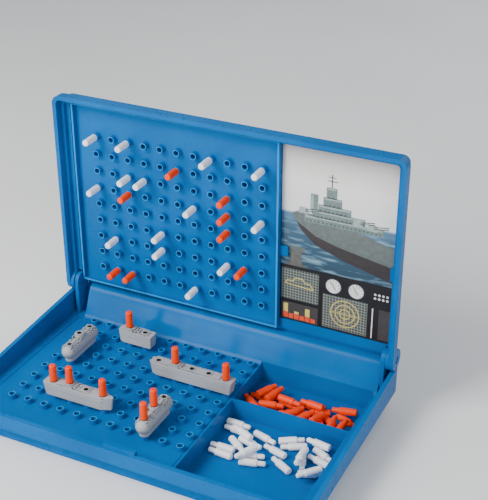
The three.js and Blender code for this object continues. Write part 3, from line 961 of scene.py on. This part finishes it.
def warship(art):
    """A plain warship seen from ahead and to one side, its bow to the left."""
    art.flat(
        1, "hull", (0.09, 0.625), (0.16, 0.56), (0.3, 0.5), (0.5, 0.46), (1, 0.40), (1, 0.535),
        (0.6, 0.60), (0.3, 0.63), (0.17, 0.65),
    )
    art.flat(
        2, "keel", (0.13, 0.585), (0.17, 0.54), (0.3, 0.47), (0.55, 0.415), (1, 0.345), (1, 0.43),
        (0.5, 0.485), (0.3, 0.52),
    )
    decks = (
        (0.2, 0.88, 0.59, 0.63), (0.26, 0.72, 0.62, 0.665), (0.32, 0.6, 0.655, 0.70),
        (0.36, 0.52, 0.69, 0.745), (0.385, 0.475, 0.735, 0.80),
    )
    window_step = 0.035
    for u0, u1, v0, v1 in decks:
        art.box(3, "house", u0, u1, v0, v1)
        art.box(4, "pale", u0 + 0.01, u1 - 0.01, v1 - 0.012, v1 - 0.004)
        for n in range(int((u1 - u0) / window_step)):
            u = u0 + 0.015 + n * window_step
            art.box(4, "shade", u, u + 0.014, v0 + 0.008, v0 + 0.017)
    art.box(3, "house", 0.25, 0.315, 0.665, 0.75)
    art.box(4, "pale", 0.255, 0.275, 0.67, 0.745)
    art.stroke(4, "shade", 0.008, 0.43, 0.8, 0.43, 0.87)
    art.stroke(4, "shade", 0.006, 0.39, 0.835, 0.475, 0.835)
    art.stroke(4, "shade", 0.005, 0.4, 0.855, 0.46, 0.855)
    for u, v in ((0.19, 0.645), (0.66, 0.635), (0.78, 0.625)):
        art.flat(
            5, "pale", (u - 0.045, v - 0.01), (u + 0.045, v - 0.014), (u + 0.035, v + 0.022),
            (u - 0.03, v + 0.024),
        )
        for lift in (0.002, 0.012):
            art.stroke(5, "shade", 0.007, u + 0.02, v + lift, u + 0.14, v + 0.012 + lift)


def bollard(art):
    art.flat(
        3, "bollard", (0.03, 0.325), (0.24, 0.325), (0.19, 0.345), (0.178, 0.40), (0.205, 0.42),
        (0.055, 0.42), (0.088, 0.40), (0.08, 0.345),
    )
    art.flat(4, "hull", (0.05, 0.415), (0.215, 0.415), (0.21, 0.437), (0.06, 0.44))
    art.stroke(4, "hull", 0.012, 0.105, 0.35, 0.108, 0.40)


def dial(art, u, v):
    """A white dial with nine ticks and one hand, and nothing else on it."""
    art.disc(3, "shade", u, v, 0.072)
    art.disc(4, "white", u, v, 0.064)
    for n in range(9):
        angle = math.radians(-40 + n * 32.5)
        c, s = math.cos(angle), math.sin(angle) * art.ratio
        inner, outer = (0.048, 0.058)
        ends = (u + inner * c, v + inner * s, u + outer * c, v + outer * s)
        art.stroke(5, "dark", 0.005, *ends)
    art.stroke(5, "dark", 0.007, u + 0.02, v - 0.018, u - 0.03, v + 0.027)


def instruments(art):
    """A control desk with no lettering: two screens, two dials, a bar chart, lamps, a slider."""
    art.box(2, "black", 0, 1, 0, PANEL_SHARE)
    art.box(3, "grid", 0.01, 0.345, 0.125, 0.305)
    art.box(3, "grid", 0.385, 0.78, 0.01, 0.205)
    art.box(3, "panel", 0.01, 0.345, 0.005, 0.105)
    art.outline(
        4, "yellow", 0.008, (0.04, 0.215), (0.3, 0.205), (0.27, 0.235), (0.22, 0.235),
        (0.2, 0.255), (0.13, 0.255), (0.12, 0.235), (0.06, 0.235),
    )
    for radius in (0.045, 0.085, 0.125):
        art.circle(4, "yellow", 0.009, 0.585, 0.11, radius)
    art.stroke(4, "yellow", 0.006, 0.585, 0.035, 0.585, 0.185)
    art.stroke(4, "yellow", 0.006, 0.445, 0.11, 0.725, 0.11)
    for u in (0.475, 0.675):
        dial(art, u, 0.258)
    bars = ((0.035, 0.085), (0.028, 0), (0.032, 0.045), (0.026, 0), (0.03, 0.075), (0.024, 0))
    for n, (red, yellow) in enumerate(bars):
        u = 0.03 + n * 0.05
        if yellow:
            art.box(4, "yellow", u, u + 0.042, 0.01 + red, 0.01 + yellow)
        art.box(4, "red", u, u + 0.042, 0.01, 0.01 + red)
    for column in range(4):
        for row in range(2):
            art.disc(3, "white", 0.84 + column * 0.035, 0.245 + row * 0.022, 0.011, 14)
    art.stroke(3, "white", 0.01, 0.825, 0.01, 0.825, 0.185)
    art.box(3, "panel", 0.88, 0.985, 0.01, 0.185)


def card():
    """The printed card: its own sheet, with layers of ink for everything but sea and sky."""
    low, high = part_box("display_card")
    sea_floor = low[2] + PANEL_SHARE * (high[2] - low[2])
    backing = refined("display_card", CARD_BEVEL, seascape(sea_floor, high[2]), "lid")
    art = Print(low, high)
    warship(art)
    bollard(art)
    instruments(art)
    inks = [ink("ink_" + name, color) for name, color in INKS.items()]
    inks.append(screen("ink_grid", (0.05, 0.06, 0.055, 1), (0.22, 0.25, 0.22, 1)))
    made = piece("display_card_print", art.work, *inks)
    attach(made, "lid")


studio()
case()
ocean_panel()
target_panel()
standing_pegs()
loose_heap("orange", ORANGE, "orange_peg", (12.4 * MM, 43 * MM), on_floor=19, on_top=14, seed=11)
loose_heap("white", WHITE, "white_peg", (-30 * MM, 10.8 * MM), on_floor=22, on_top=5, seed=5)
ships()
card()
